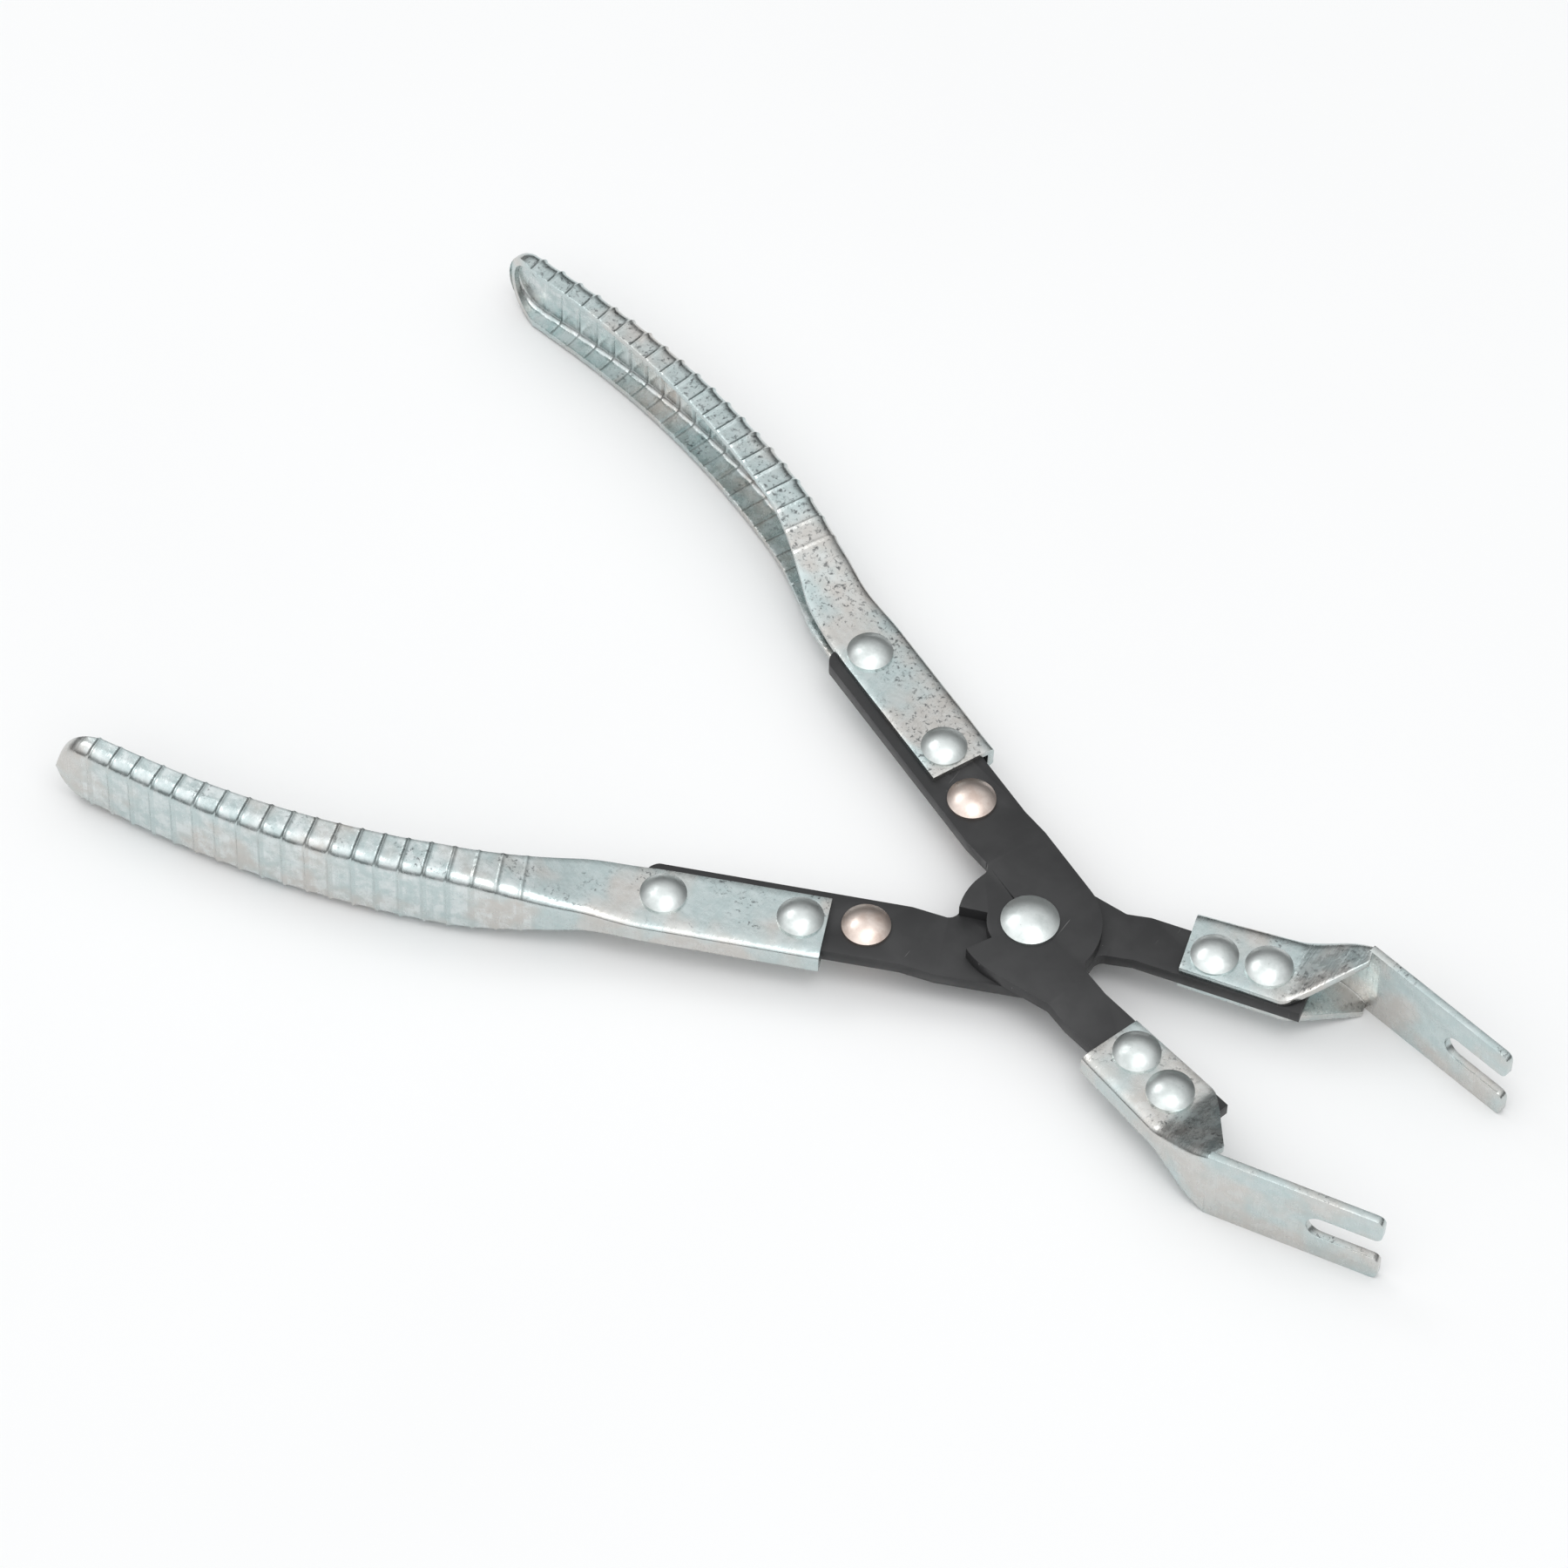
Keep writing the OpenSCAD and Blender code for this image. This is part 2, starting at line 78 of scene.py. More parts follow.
BOW_FULL = GRIP_RISE + RISE_LENGTH    # where the grip has its full height
TIP_ROUND = 5.5
END_INSET = 0.15            # keeps the smooth end inside the CAD model
RIB_COUNT = 20
RIB_PITCH = 4.15
RIB_LAST = GRIP_LENGTH - 7.0
RIB_HEIGHT = 0.3
RIB_SOFTNESS = 0.27         # half width of a rib's rounded top
FRONT_RIB_STRENGTH = 0.45   # share of the full height that the first ribs have
PANEL_DIP = 0.1             # how far the bend sinks between two ribs
GRIP_BEND = 2.3             # outer bend between web and flanges, across

FORK_ANGLE = math.radians(17.0)
FORK_SHEET = 1.4
FORK_START = 26.4
FORK_OUT = 10.7
FORK_WEB = 24.7
FORK_BEND_R = 15.0
FORK_BEND = math.radians(27.2)
BLADE_LENGTH = 30.0
BLADE_HALF = 8.3
SLOT_HALF = 2.7
SLOT_DEPTH = 13.2
CORNER_R = 1.5
FLARE_START = 45.0
FLARE_END = 57.0
FORK_FLANGE_HALF = ARM_TOP + FORK_SHEET
FLANGE_EDGE = [             # inner edge of the fork's flanges, in the fork frame
    (FORK_START, 1.3), (44.4, 2.5), (45.4, 2.3), (46.1, 1.9), (49.0, 0.0), (FLARE_END, -6.1),
]
FLARE_LEAD = 3.0            # length before the flare with close stations
FLARE_SOFTNESS = 0.35       # length over which the flare starts to rise

# ---- Finish of the meshes, in millimetres and degrees ----

MERGE = 0.005               # distance within which vertices become one
GRIP_EDGE, FORK_EDGE, PLATE_EDGE = 0.16, 0.18, 0.2
SHARP, PLATE_SHARP = 35.0, 30.0
GRIP_WANDER, FORK_WANDER = 0.05, 0.04   # depth of the slight waves in the sheets


# ---- Paths ----

def travel(pieces, s, start):
    """Point and heading in radians at distance s along arcs and straight pieces."""
    x, y = start
    heading = 0.0
    for index, (length, turn) in enumerate(pieces):
        last = index == len(pieces) - 1
        part = s / length if last else min(1.0, s / length)
        angle = math.radians(turn) * part
        run = length * part
        if turn == 0:
            x += run * math.cos(heading)
            y += run * math.sin(heading)
        else:
            radius = run / angle if angle else 0.0
            x += radius * (math.sin(heading + angle) - math.sin(heading))
            y += radius * (math.cos(heading) - math.cos(heading + angle))
        heading += angle
        if s <= length:
            break
        s -= length
    return x, y, heading


def beside(state, off):
    """Point at an offset to the left of a state."""
    x, y, heading = state
    return x - off * math.sin(heading), y + off * math.cos(heading)


def ease(t):
    """Smooth rise from 0 to 1."""
    u = min(1.0, max(0.0, t))
    return u * u * (3 - 2 * u)


def interpolate(x, table):
    """Value at x along a list of (x, value) points."""
    for (x0, y0), (x1, y1) in zip(table, table[1:]):
        if x <= x1:
            return y0 + (y1 - y0) * max(0.0, x - x0) / (x1 - x0)
    return table[-1][1]


def from_handle_frame(x, y, z, side):
    c, s = math.cos(HANDLE_ANGLE), math.sin(HANDLE_ANGLE)
    return Vector((-(x * c - y * s), side * (x * s + y * c), z)) * MM


def from_fork_frame(x, y, z, side):
    c, s = math.cos(FORK_ANGLE), math.sin(FORK_ANGLE)
    return Vector((x * c + y * s, side * (y * c - x * s), z)) * MM


# ---- Mesh helpers ----

def loft(bm, rows, slots=None):
    """Quads between neighbouring rows of vertices, with one material slot for each gap."""
    for k, (a, b) in enumerate(zip(rows, rows[1:])):
        for i in range(len(a) - 1):
            face = bm.faces.new([a[i], a[i + 1], b[i + 1], b[i]])
            face.material_index = slots[k] if slots else 0


def strip(bm, a, b):
    """Quads between two rows of vertices."""
    for i in range(len(a) - 1):
        bm.faces.new([a[i], a[i + 1], b[i + 1], b[i]])


def finish_mesh(bm, name, edge, materials, sharp=SHARP, edge_slot=-1):
    """An object from the mesh, with its sharp edges rounded over."""
    bmesh.ops.remove_doubles(bm, verts=bm.verts, dist=MERGE * MM)
    bmesh.ops.recalc_face_normals(bm, faces=bm.faces)
    mesh = bpy.data.meshes.new(name)
    bm.to_mesh(mesh)
    bm.free()
    for material in materials:
        mesh.materials.append(material)
    obj = bpy.data.objects.new(name, mesh)
    bpy.context.scene.collection.objects.link(obj)
    rounding = obj.modifiers.new("edge rounding", "BEVEL")
    rounding.width = edge * MM
    rounding.segments = 2
    rounding.limit_method = "ANGLE"
    rounding.angle_limit = math.radians(sharp)
    rounding.use_clamp_overlap = True
    rounding.material = edge_slot
    apply_modifiers(obj)
    for polygon in obj.data.polygons:
        polygon.use_smooth = True
    obj.data.set_sharp_from_angle(angle=math.radians(sharp))
    return obj


def apply_modifiers(obj):
    """Make the result of the modifiers the object's own mesh."""
    graph = bpy.context.evaluated_depsgraph_get()
    mesh = bpy.data.meshes.new_from_object(obj.evaluated_get(graph))
    old = obj.data
    obj.modifiers.clear()
    obj.data = mesh
    mesh.name = obj.name
    bpy.data.meshes.remove(old)


# ---- Grips ----

def grip_half(s):
    """Half height of the grip at distance s from its front edge."""
    height = GRIP_FRONT_HALF + (GRIP_HALF - GRIP_FRONT_HALF) * ease(
        (s - RISE_START) / (BOW_FULL - RISE_START))
    to_tip = max(0.0, (s - BOW_FULL) / (GRIP_LENGTH - BOW_FULL))
    return height - (GRIP_HALF - GRIP_TIP_HALF) * to_tip


def grip_width(s):
    """Width of the flanges over the web at distance s."""
    front, rear, tip, end = GRIP_WIDTHS
    narrow_start = GRIP_STRAIGHT - 2
    narrowing = ease((s - narrow_start) / (BOW_FULL - narrow_start))
    to_tip = min(1.0, max(0.0, (s - BOW_FULL) / (RIB_LAST - BOW_FULL)))
    to_end = max(0.0, (s - RIB_LAST) / (GRIP_LENGTH - RIB_LAST))
    return front + (rear - front) * narrowing + (tip - rear) * to_tip + (end - tip) * to_end


def rib_places():
    return [RIB_LAST - i * RIB_PITCH for i in range(RIB_COUNT)]


def rib_rise(s):
    """Height of the pressed ribs above the sheet; the front ones are shallower."""
    rise = 0.0
    for place in rib_places():
        away = (s - place) / RIB_SOFTNESS
        if abs(away) < 4:
            strength = FRONT_RIB_STRENGTH + (1 - FRONT_RIB_STRENGTH) * ease((place - 50) / 22)
            rise += strength * math.exp(-away * away)
    return RIB_HEIGHT * rise


def panel_dip(s):
    """1 in the middle of the panel between two ribs, 0 on a rib."""
    if s > RIB_LAST + RIB_PITCH / 2 or s < rib_places()[-1] - RIB_PITCH / 2:
        return 0.0
    return 0.5 - 0.5 * math.cos(2 * math.pi * (s - RIB_LAST) / RIB_PITCH)


def grip_profile(s, inner, shrink=1.0):
    """Points of the sheet across the grip, from the upper flange's edge to the lower one's.

    Each is its distance inward, its height, and the two parts of the outward unit vector.
    """
    half = grip_half(s)
    width = grip_width(s)
    grown = (half - GRIP_FRONT_HALF) / (GRIP_HALF - GRIP_FRONT_HALF)
    bend_x = GRIP_BEND
    bend_z = 0.8 + 1.3 * max(0.0, grown)
    near = 0.0
    if inner:
        half -= GRIP_SHEET
        bend_x = max(bend_x - GRIP_SHEET, 0.2)
        bend_z = max(bend_z - GRIP_SHEET, 0.2)
        near = GRIP_SHEET
    half *= shrink
    bend_z = min(bend_z, half)
    upper = []
    flange_n, arc_n, web_n = 7, 8, 6
    for i in range(flange_n):
        upper.append((width + (near + bend_x - width) * i / flange_n, half, 0.0, 1.0))
    for i in range(arc_n + 1):
        a = math.pi / 2 * i / arc_n
        upper.append((
            near + bend_x * (1 - math.sin(a)), half - bend_z * (1 - math.cos(a)),
            -math.sin(a), math.cos(a)))
    for i in range(1, web_n + 1):
        upper.append((near, (half - bend_z) * (1 - i / web_n), -1.0, 0.0))
    lower = [(x, -z, nx, -nz) for x, z, nx, nz in reversed(upper[:-1])]
    return upper + lower


def grip_stations():
    """Distances along the grip up to its rounded end, close together at the ribs."""
    step = 1.6
    stations = [i * step for i in range(int(GRIP_STRAIGHT / step) + 12)]
    first = rib_places()[-1] - RIB_PITCH / 2
    stations = [s for s in stations if s < first]
    for place in sorted(rib_places()):
        for off in (-2.0, -1.4, -0.9, -0.6, -0.4, -0.2, 0.0, 0.2, 0.4, 0.6, 0.9, 1.4):
            stations.append(place + off)
    last = GRIP_LENGTH - TIP_ROUND
    stations = [s for s in stations if s < last - 0.2]
    return stations + [last]


def grip_row(bm, s, inner, shrink, side):
    """Vertices across one face of the sheet, with its ribs and slight waves."""
    row = []
    state = travel(GRIP_PIECES, s, (GRIP_START, GRIP_OUT))
    rise = rib_rise(s)
    dip = panel_dip(s)
    for off, z, nx, nz in grip_profile(s, inner, shrink):
        corner = 2 * abs(nx * nz)
        lift = rise * (0.8 if inner else 1.0) - PANEL_DIP * dip * corner
        steady = 1 - ease((s - GRIP_LENGTH + 16) / 8)
        wander = GRIP_WANDER * steady * noise.noise(Vector((s / 6, off / 5, z / 5 + 9 * side)))
        p_off = off + nx * (lift + wander)
        p_z = z + nz * (lift + wander) * (1 if shrink > 0.3 else 0)
        x, y = beside(state, -p_off)
        row.append(bm.verts.new(from_handle_frame(x, y, p_z, side)))
    return row


def make_grip(name, side, materials):
    """A grip from its outer and inner faces; materials are for the sheet, the inside, the panels.
    The inside holds painted light, and the panels hold painted shade on the upper grip and painted
    light on the lower.
    """
    bm = bmesh.new()
    rows = []
    for inner in (False, True):
        out = []
        end = GRIP_LENGTH - END_INSET - (GRIP_SHEET if inner else 0.0)
        for s in grip_stations():
            pull = GRIP_SHEET * ease((s - (GRIP_LENGTH - TIP_ROUND - 14)) / 14) if inner else 0.0
            out.append(grip_row(bm, s - pull, inner, 1.0, side))
        for i in range(1, 11):
            a = math.radians(9 * i)
            out.append(grip_row(bm, end - TIP_ROUND * (1 - math.sin(a)), inner, math.cos(a), side))
        rows.append(out)
    outer, inside = rows
    places = grip_stations()
    # panel faces take the third material: painted shade on the upper grip, painted light on the
    # lower
    panels = [2 if panel_dip((a + b) / 2) > 0.2 else 0 for a, b in zip(places, places[1:])]
    loft(bm, outer, panels + [0] * (len(outer) - len(places)))
    loft(bm, inside, [1] * len(inside))
    strip(bm, outer[0], inside[0])
    for edge in (0, -1):
        strip(bm, [row[edge] for row in outer], [row[edge] for row in inside])
    return finish_mesh(bm, name, GRIP_EDGE, materials)


# ---- Forks ----

def fork_web(x):
    """The web's outer face and its heading at x, in the fork frame."""
    past = x - FORK_START - FORK_WEB
    if past <= 0:
        return -FORK_OUT, 0.0
    turn = math.asin(min(past / FORK_BEND_R, math.sin(FORK_BEND)))
    return -FORK_OUT + FORK_BEND_R * (1 - math.cos(turn)), turn


def fork_half(x):
    """Half height of the fork at x, with a softened crease where the flare starts."""
    slope = (BLADE_HALF - FORK_FLANGE_HALF) / (FLARE_END - FLARE_START)
    soft = FLARE_SOFTNESS
    past = x - FLARE_START
    smooth = soft * math.log(1 + math.exp(past / soft)) if past < 8 else past
    return FORK_FLANGE_HALF + slope * smooth


def fork_profile(x, inner):
    """Points of the sheet across the fork, from the upper flange's edge to the lower one's."""
    half = min(fork_half(x), BLADE_HALF)
    web, turn = fork_web(x)
    edge = interpolate(x, FLANGE_EDGE)
    grown = (half - FORK_FLANGE_HALF) / (BLADE_HALF - FORK_FLANGE_HALF)
    bend_x = 2.4 - 1.2 * grown
    bend_z = 0.9 + 0.5 * math.sin(math.pi * min(1.0, grown)) - 0.3 * grown
    sheet = FORK_SHEET / math.cos(turn)
    slope_sheet = FORK_SHEET * (1 + 0.1 * min(1.0, 4 * grown))
    if inner:
        half -= slope_sheet
        web += sheet
        bend_x = max(bend_x - sheet, 0.15)
        bend_z = max(bend_z - slope_sheet, 0.15)
    upper = []
    flange_n, arc_n, web_n = 8, 7, 5
    for i in range(flange_n):
        upper.append((edge + (web + bend_x - edge) * i / flange_n, half))
    for i in range(arc_n + 1):
        a = math.pi / 2 * i / arc_n
        upper.append((web + bend_x * (1 - math.sin(a)), half - bend_z * (1 - math.cos(a))))
    for i in range(1, web_n + 1):
        upper.append((web, (half - bend_z) * (1 - i / web_n)))
    return upper + [(y, -z) for y, z in reversed(upper[:-1])]


def blade_outline():
    """Outline of the flat blade: distance from its start, and height."""
    points = []

    def corner(cx, cz, start, sweep, radius, n=6):
        for i in range(n + 1):
            a = math.radians(start + sweep * i / n)
            points.append((cx + radius * math.cos(a), cz + radius * math.sin(a)))

    r = CORNER_R
    points.append((0.0, -BLADE_HALF))
    corner(BLADE_LENGTH - r, -BLADE_HALF + r, -90, 90, r)
    corner(BLADE_LENGTH - r, -SLOT_HALF - r, 0, 90, r)
    corner(BLADE_LENGTH - SLOT_DEPTH + SLOT_HALF, 0.0, -90, -180, SLOT_HALF, 16)
    corner(BLADE_LENGTH - r, SLOT_HALF + r, -90, 90, r)
    corner(BLADE_LENGTH - r, BLADE_HALF - r, 0, 90, r)
    points.append((0.0, BLADE_HALF))
    return points


def make_fork(name, side, materials):
    """A fork: the channel on the jaw arm, the rest of the bend, and the slotted blade."""
    bm = bmesh.new()
    lead = FLARE_START - FLARE_LEAD
    coarse, fine = 10, 30
    stations = [FORK_START + i * (lead - FORK_START) / coarse for i in range(coarse)]
    stations += [lead + (FLARE_END - lead) * i / fine for i in range(fine + 1)]
    rows = []
    for inner in (False, True):
        out = []
        for x in stations:
            row = []
            for y, z in fork_profile(x, inner):
                wander = FORK_WANDER * noise.noise(Vector((x / 5, y / 5, z / 4 + 7 * side)))
                row.append(bm.verts.new(from_fork_frame(x, y + wander, z, side)))
            out.append(row)
        rows.append(out)
    outer, inside = rows
    loft(bm, outer)
    loft(bm, inside)
    for end in (0, -1):
        strip(bm, outer[end], inside[end])
    for edge in (0, -1):
        strip(bm, [row[edge] for row in outer], [row[edge] for row in inside])

    # the rest of the bend, then the flat blade
    bend_end = FORK_START + FORK_WEB + FORK_BEND_R * math.sin(FORK_BEND)
    faces = []
    for off in (0.0, FORK_SHEET):
        columns = []
        for i in range(5):
            x = FLARE_END + (bend_end - FLARE_END) * i / 4
            y, turn = fork_web(x)
            px, py = beside((x, y, turn), off)
            columns.append([bm.verts.new(from_fork_frame(px, py, z, side))
                            for z in (-BLADE_HALF, BLADE_HALF)])
        loft(bm, columns)
        y, turn = fork_web(bend_end)
        ring = []
        for run, z in blade_outline():
            px = bend_end + run * math.cos(turn)
            py = y + run * math.sin(turn)
            px, py = beside((px, py, turn), off)
            ring.append(bm.verts.new(from_fork_frame(px, py, z, side)))
        bm.faces.new(ring)
        faces.append((columns, ring))
    (columns_a, ring_a), (columns_b, ring_b) = faces
    strip(bm, ring_a, ring_b)
    strip(bm, columns_a[0], columns_b[0])
    for k in (0, 1):
        strip(bm, [column[k] for column in columns_a], [column[k] for column in columns_b])
    return finish_mesh(bm, name, FORK_EDGE, materials)


# ---- Lever plates: the CAD shape with its sharp edges rounded over ----

def make_plate(name, node, materials):
    """A lever plate; the second material is for its rounded edges and paints a patchy highlight with
    wear on them.
    """
    bm = bmesh.new()
    bm.from_mesh(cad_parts[node].data)
    bmesh.ops.remove_doubles(bm, verts=bm.verts, dist=0.000002)
    bmesh.ops.dissolve_limit(
        bm, angle_limit=math.radians(2), verts=bm.verts, edges=bm.edges, delimit={"NORMAL"})
    return finish_mesh(bm, name, PLATE_EDGE, materials, PLATE_SHARP, 1)


# ---- Materials ----

class Shader:
    """A node material, written as a chain of short calls."""

    def __init__(self, name):
        self.material = bpy.data.materials.new(name)
        self.material.use_nodes = True
        self.tree = self.material.node_tree
        self.tree.nodes.clear()
        self.out = self.tree.nodes.new("ShaderNodeOutputMaterial")
        self.surface = self.tree.nodes.new("ShaderNodeBsdfPrincipled")
        self.tree.links.new(self.surface.outputs["BSDF"], self.out.inputs["Surface"])

    def node(self, kind, **settings):
        """A new node with its settings."""
        made = self.tree.nodes.new(kind)
        for key, value in settings.items():
            setattr(made, key, value)
        return made

    def feed(self, socket, value):
        """Link a socket's output to an input, or set the input to a value."""
        if isinstance(value, bpy.types.NodeSocket):
            self.tree.links.new(value, socket)
        else:
            socket.default_value = value

    def coords(self, turn=0.0, scale=(1, 1, 1)):
        place = self.node("ShaderNodeTexCoord")
        mapping = self.node("ShaderNodeMapping")
        self.feed(mapping.inputs["Vector"], place.outputs["Object"])
        mapping.inputs["Rotation"].default_value = (0, 0, turn)
        mapping.inputs["Scale"].default_value = scale
        return mapping.outputs["Vector"]

    def normal_axis(self, axis):
        place = self.node("ShaderNodeTexCoord")
        split = self.node("ShaderNodeSeparateXYZ")
        self.feed(split.inputs[0], place.outputs["Normal"])
        return split.outputs[axis]

    def noise(self, vector, scale, detail=4.0, rough=0.55, distortion=0.0):
        made = self.node("ShaderNodeTexNoise")
        self.feed(made.inputs["Vector"], vector)
        made.inputs["Scale"].default_value = scale
        made.inputs["Detail"].default_value = detail
        made.inputs["Roughness"].default_value = rough
        made.inputs["Distortion"].default_value = distortion
        return made.outputs["Fac"]

    def math(self, operation, a, b=0.0, clamp=False):
        made = self.node("ShaderNodeMath", operation=operation, use_clamp=clamp)
        self.feed(made.inputs[0], a)
        self.feed(made.inputs[1], b)
        return made.outputs[0]

    def span(self, value, low, high, to_low=0.0, to_high=1.0):
        made = self.node("ShaderNodeMapRange", interpolation_type="SMOOTHSTEP")
        self.feed(made.inputs["Value"], value)
        self.feed(made.inputs["From Min"], low)
        self.feed(made.inputs["From Max"], high)
        self.feed(made.inputs["To Min"], to_low)
        self.feed(made.inputs["To Max"], to_high)
        return made.outputs["Result"]

    def mix(self, factor, a, b):
        made = self.node("ShaderNodeMix", data_type="RGBA")
        self.feed(made.inputs["Factor"], factor)
        self.feed(made.inputs[6], a)
        self.feed(made.inputs[7], b)
        return made.outputs[2]

    def bump(self, height, strength, distance):
        made = self.node("ShaderNodeBump")
        made.inputs["Strength"].default_value = strength
        made.inputs["Distance"].default_value = distance
        self.feed(made.inputs["Height"], height)
        self.feed(self.surface.inputs["Normal"], made.outputs["Normal"])

    def finish(self, color, rough, metallic):
        self.feed(self.surface.inputs["Base Color"], color)
        self.feed(self.surface.inputs["Roughness"], rough)
        self.feed(self.surface.inputs["Metallic"], metallic)
        return self.material


def zinc(name, turn, spangle_and_shade, bright):
    """Zinc plate: cool and warm patches, dark spangle on level faces, fine grain across.

    The third argument spreads the dark spangle; the extra spread beyond the fork's 0.5 is painted
    shade. The fourth argument is painted light that lightens the sheet, and "turn" sets the grain's
    direction.
    """
    m = Shader(name)
    plain = m.coords()
    warm = m.span(m.noise(plain, 70, 3), 0.42, 0.62)
    fine = m.span(m.noise(plain, 420, 5, 0.6), 0.35, 0.7)
    tint = m.mix(warm, (0.52, 0.61, 0.61, 1), (0.60, 0.58, 0.55, 1))
    # fine light mottling; the added lightening from the fourth argument is painted light
    tint = m.mix(m.math("MULTIPLY", fine, 0.3 + bright), tint, (0.78, 0.82, 0.82, 1))
    up = m.span(m.math("ABSOLUTE", m.normal_axis("Z")), 0.75, 0.97)
    # dark spangle on level faces; its wider spread on the upper grip is painted shade
    region = m.span(m.noise(plain, 130, 2), 0.5 - 0.12 * spangle_and_shade, 0.66 - 0.12 * spangle_and_shade)
    spots = m.span(m.noise(plain, 1300, 6, 0.65, 0.4), 0.52, 0.66)
    spots = m.math("MULTIPLY", m.math("MULTIPLY", spots, region), up)
    tint = m.mix(m.math("MULTIPLY", spots, 0.85), tint, (0.07, 0.075, 0.08, 1))
    grain = m.noise(m.coords(turn, (2600, 90, 260)), 1.0, 3, 0.6)
    across = m.span(grain, 0.3, 0.75)
    tint = m.mix(m.math("MULTIPLY", across, 0.12), tint, (0.45, 0.47, 0.48, 1))
    rough = m.math("ADD", m.span(fine, 0, 1, 0.2, 0.3), m.math("MULTIPLY", across, 0.06))
    peel = m.noise(plain, 900, 3, 0.5)
    height = m.math("ADD", m.math("MULTIPLY", peel, 0.9), m.math("MULTIPLY", grain, 0.5))
    m.bump(height, 0.28, 0.0002)
    return m.finish(tint, rough, 1.0)


def black_oxide(name, edge_highlight_and_wear):
    """Satin black oxide with rubbed spots and thin scratches; the edge setting paints a patchy
    highlight with wear on the rounded edges.
    """
    m = Shader(name)
    plain = m.coords()
    cloud = m.span(m.noise(plain, 160, 4), 0.35, 0.7)
    tint = m.mix(cloud, (0.029, 0.029, 0.030, 1), (0.037, 0.037, 0.038, 1))
    rubbed = m.span(m.noise(plain, 700, 6, 0.7), 0.7, 0.75)
    scratch = m.span(m.noise(m.coords(0.9, (3200, 90, 400)), 1.0, 2, 0.5), 0.74, 0.78)
    marks = m.math("MAXIMUM", rubbed, m.math("MULTIPLY", scratch, 0.7))
    if edge_highlight_and_wear:
        # lighter patches on the rounded edges: painted edge highlight together with wear
        worn_and_highlit = m.span(m.noise(plain, 500, 5, 0.65), 0.42, 0.62)
        marks = m.math("MAXIMUM", marks, m.math("MULTIPLY", worn_and_highlit, edge_highlight_and_wear))
    tint = m.mix(m.math("MULTIPLY", marks, 0.6), tint, (0.42, 0.42, 0.41, 1))
    rough = m.span(cloud, 0, 1, 0.46, 0.4)
    m.bump(m.noise(plain, 1500, 5, 0.6), 0.07, 0.0001)
    m.surface.inputs["Specular IOR Level"].default_value = 0.42
    return m.finish(tint, rough, m.math("MULTIPLY", marks, 0.6))


def polished(name, light, dark):
    """A burnished rivet: small dark pits and a soft tint."""
    m = Shader(name)
    plain = m.coords()
    cloud = m.span(m.noise(plain, 300, 4, 0.6), 0.35, 0.7)
    tint = m.mix(cloud, light, dark)
    pits = m.span(m.noise(plain, 2300, 5, 0.7), 0.64, 0.72)
    tint = m.mix(m.math("MULTIPLY", pits, 0.5), tint, (0.16, 0.15, 0.15, 1))
    rough = m.span(cloud, 0, 1, 0.3, 0.42)
    m.bump(m.noise(plain, 1100, 4, 0.55), 0.1, 0.0002)
    return m.finish(tint, rough, 1.0)


def floor_material():
    """Matt near-white paper."""
    m = Shader("pale_floor")
    plain = m.coords()
    tint = m.mix(m.noise(plain, 9, 3), (0.93, 0.93, 0.93, 1), (0.96, 0.96, 0.96, 1))
    return m.finish(tint, 0.7, 0.0)


def paint(obj, material):
    """Give the whole object one material."""
    obj.data.materials.clear()
    obj.data.materials.append(material)


# ---- Build ----

SIDES = {"upper": 1, "lower": -1}

for word, side in SIDES.items():
    body = word + "_lever"
    # painted shade: the upper grip's sheet and panels get wider dark spangle; painted light
    # brightens the lower grip's panels and both grips' insides
    panel_spangle_and_shade, panel_painted_light = (2.0, 0.0) if side > 0 else (0.0, 0.5)
    grip = make_grip("grip_sheet_" + word, side, (
        zinc("zinc_grip_" + word, side * HANDLE_ANGLE, 1.0 if side > 0 else 0.55, 0.0),
        zinc("zinc_grip_inside_painted_light_" + word, side * HANDLE_ANGLE, 0.0, 0.6),
        zinc("zinc_panel_painted_shading_" + word, side * HANDLE_ANGLE, panel_spangle_and_shade, panel_painted_light),
    ))
    fork = make_fork("fork_sheet_" + word, side, (
        zinc("zinc_fork_" + word, side * FORK_ANGLE, 0.5, 0.0),
    ))
    plate = make_plate("plate_" + word, "lever_" + word, (
        black_oxide("black_oxide_" + word, 0.0),
        black_oxide("black_oxide_edge_highlight_" + word, 0.9),
    ))
    for piece, node, slot in (
        (grip, "grip_" + word, "zinc_sheet"),
        (fork, "fork_" + word, "zinc_sheet"),
        (plate, "lever_" + word, "black_oxide"),
    ):
        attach(piece, body)
        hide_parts(node)

rivet_steel = polished("burnished_steel", (0.74, 0.78, 0.77, 1), (0.56, 0.60, 0.59, 1))
rivet_warm = polished("warm_plated_steel", (0.80, 0.70, 0.64, 1), (0.62, 0.50, 0.44, 1))
for name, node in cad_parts.items():
    if "rivet" in name:
        paint(node, rivet_warm if name.startswith("arm_rivet") else rivet_steel)

# ---- Stage, light and camera ----

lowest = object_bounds()[0][2]
floor_mesh = bpy.data.meshes.new("floor")
reach = 3.0
corners = [(-reach, -reach), (reach, -reach), (reach, reach), (-reach, reach)]
floor_mesh.from_pydata([(x, y, lowest) for x, y in corners], [], [(0, 1, 2, 3)])
floor = bpy.data.objects.new("floor", floor_mesh)
bpy.context.scene.collection.objects.link(floor)
paint(floor, floor_material())


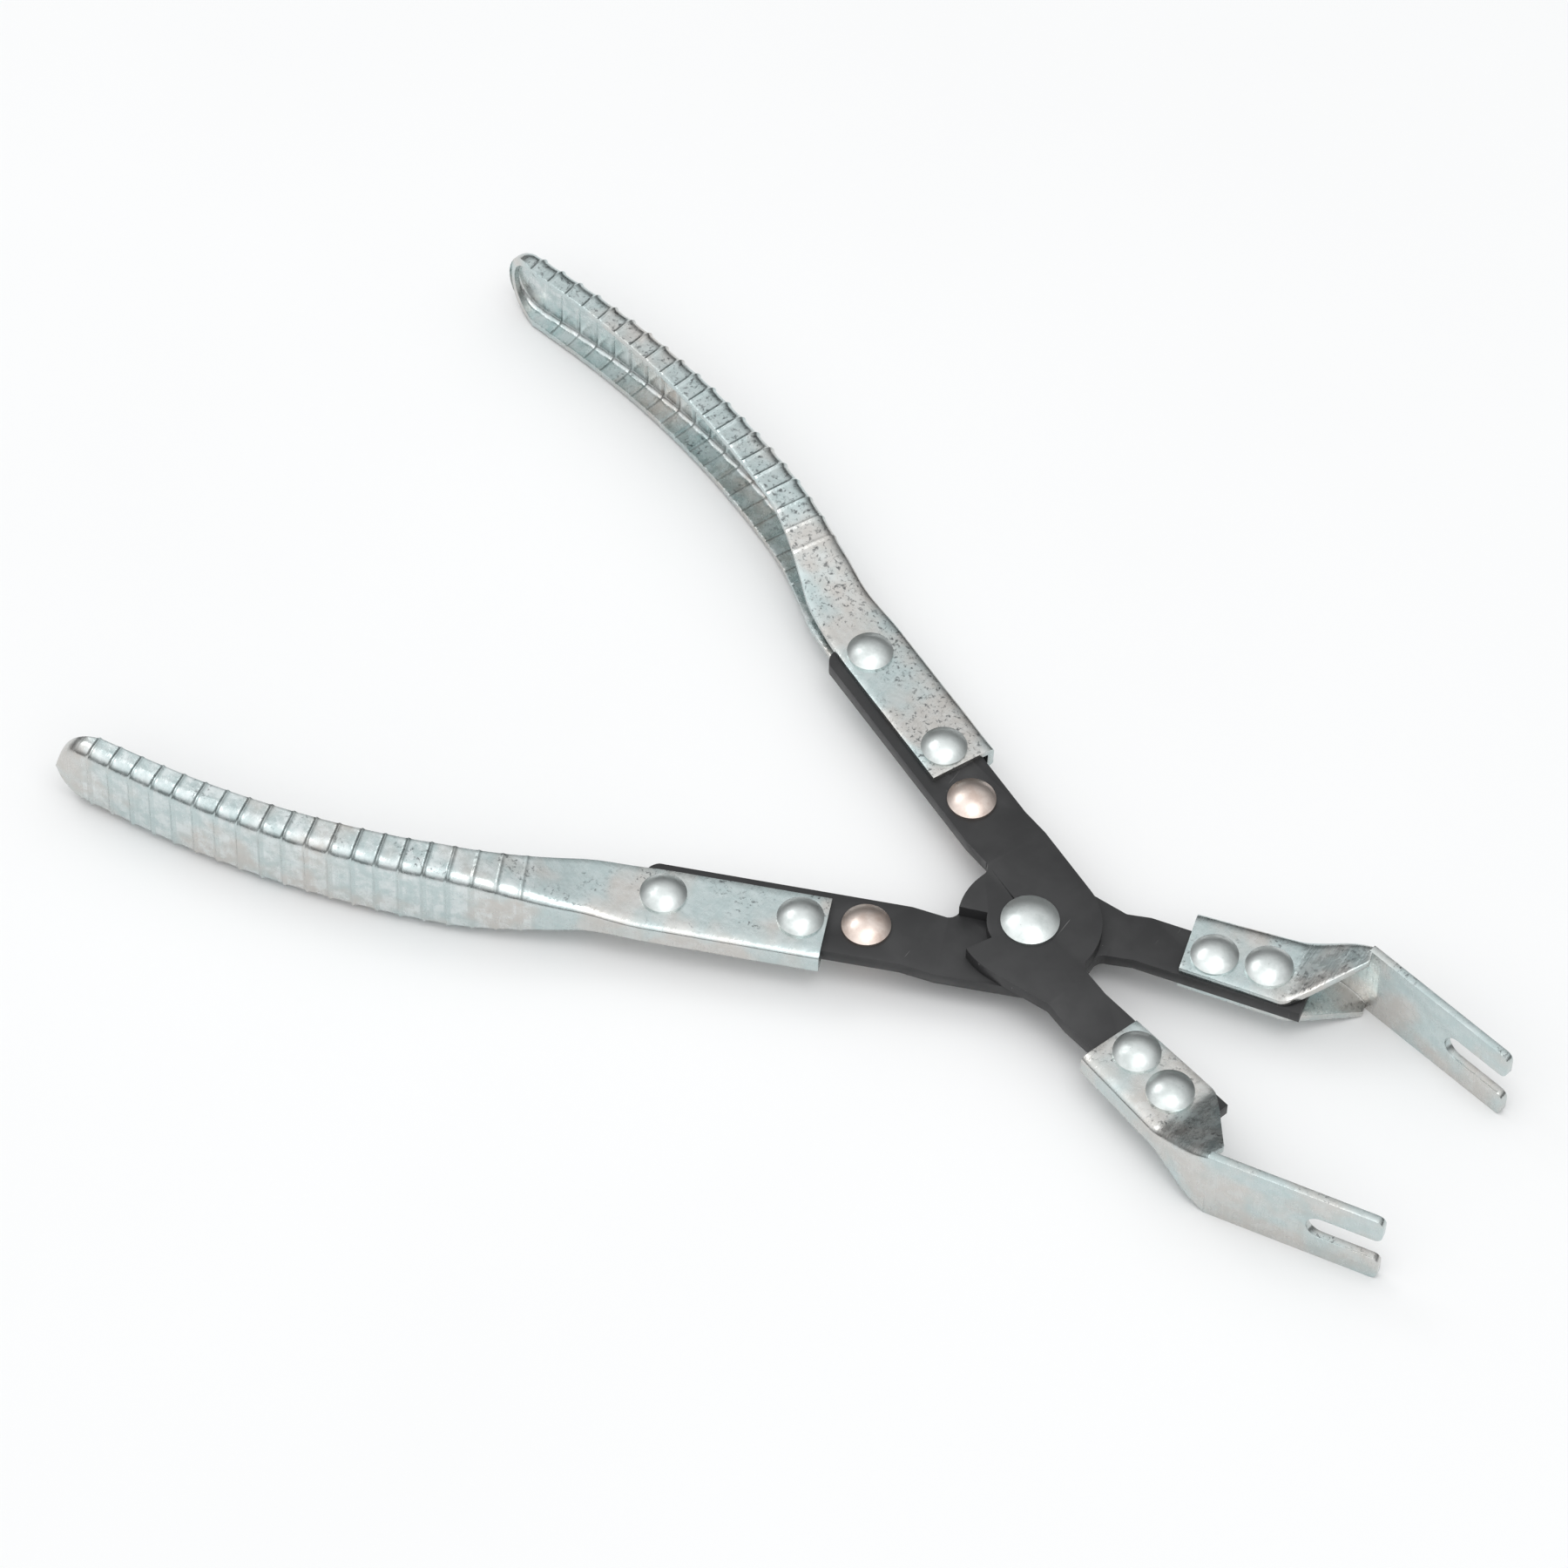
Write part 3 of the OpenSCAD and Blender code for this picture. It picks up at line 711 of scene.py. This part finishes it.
def studio_sky():
    """A white tent: bright overhead and in front, darker low down behind the object."""
    world = bpy.data.worlds.new("studio")
    bpy.context.scene.world = world
    world.use_nodes = True
    tree = world.node_tree
    place = tree.nodes.new("ShaderNodeTexCoord")
    split = tree.nodes.new("ShaderNodeSeparateXYZ")
    tree.links.new(place.outputs["Generated"], split.inputs[0])

    def graded(axis, interpolation, limits):
        grade = tree.nodes.new("ShaderNodeMapRange")
        grade.interpolation_type = interpolation
        tree.links.new(split.outputs[axis], grade.inputs["Value"])
        for socket, value in zip(("From Min", "From Max", "To Min", "To Max"), limits):
            grade.inputs[socket].default_value = value
        return grade

    rise = graded("Z", "SMOOTHSTEP", (0.15, 0.95, 0.16, 1.3))
    front = graded("Y", "LINEAR", (-1.0, 1.0, 1.25, 0.6))
    both = tree.nodes.new("ShaderNodeMath")
    both.operation = "MULTIPLY"
    tree.links.new(rise.outputs["Result"], both.inputs[0])
    tree.links.new(front.outputs["Result"], both.inputs[1])
    background = tree.nodes["Background"]
    background.inputs["Color"].default_value = (0.985, 0.995, 1.0, 1)
    tree.links.new(both.outputs[0], background.inputs["Strength"])


LAMP_AIM = Vector((-0.03, 0, 0))


def away_from(azimuth, elevation):
    """Unit vector from the object towards a lamp or camera; the angles are in radians."""
    level = math.cos(elevation)
    return Vector((math.sin(azimuth) * level, -math.cos(azimuth) * level, math.sin(elevation)))


def softbox(name, azimuth, elevation, distance, size, power):
    """A rectangular lamp aimed at the pliers; the angles are in degrees."""
    back = away_from(math.radians(azimuth), math.radians(elevation))
    lamp = bpy.data.lights.new(name, "AREA")
    lamp.shape = "RECTANGLE"
    lamp.size, lamp.size_y = size
    lamp.energy = power
    obj = bpy.data.objects.new(name, lamp)
    obj.location = LAMP_AIM + back * distance
    obj.rotation_euler = back.to_track_quat("Z", "Y").to_euler()
    bpy.context.scene.collection.objects.link(obj)


studio_sky()
softbox("top_softbox", 60, 74, 1.1, (0.6, 0.5), 2.0)
softbox("back_softbox", 262, 50, 1.2, (0.5, 0.25), 1.0)

# The camera stands where the photograph was taken from, turned a little about its own axis.
# The places and the distance are in metres.
AIM = Vector((-0.0508, 0.0010, 0.0))
AZIMUTH, ELEVATION, ROLL = math.radians(32.95), math.radians(54.40), math.radians(1.92)
DISTANCE = 1.3498
camera_data = bpy.data.cameras.new("camera")
camera_data.sensor_width = 36.0
camera_data.lens = 181.9
camera_data.clip_start = 0.05
camera = bpy.data.objects.new("camera", camera_data)
back = away_from(AZIMUTH, ELEVATION)
right = Vector((math.cos(AZIMUTH), math.sin(AZIMUTH), 0.0))
up = back.cross(right)
turned_right = right * math.cos(ROLL) + up * math.sin(ROLL)
turned_up = up * math.cos(ROLL) - right * math.sin(ROLL)
axes = Matrix((turned_right, turned_up, back)).transposed().to_4x4()
camera.matrix_world = Matrix.Translation(AIM + back * DISTANCE) @ axes
bpy.context.scene.collection.objects.link(camera)
bpy.context.scene.camera = camera
bpy.context.scene.view_settings.view_transform = "Standard"
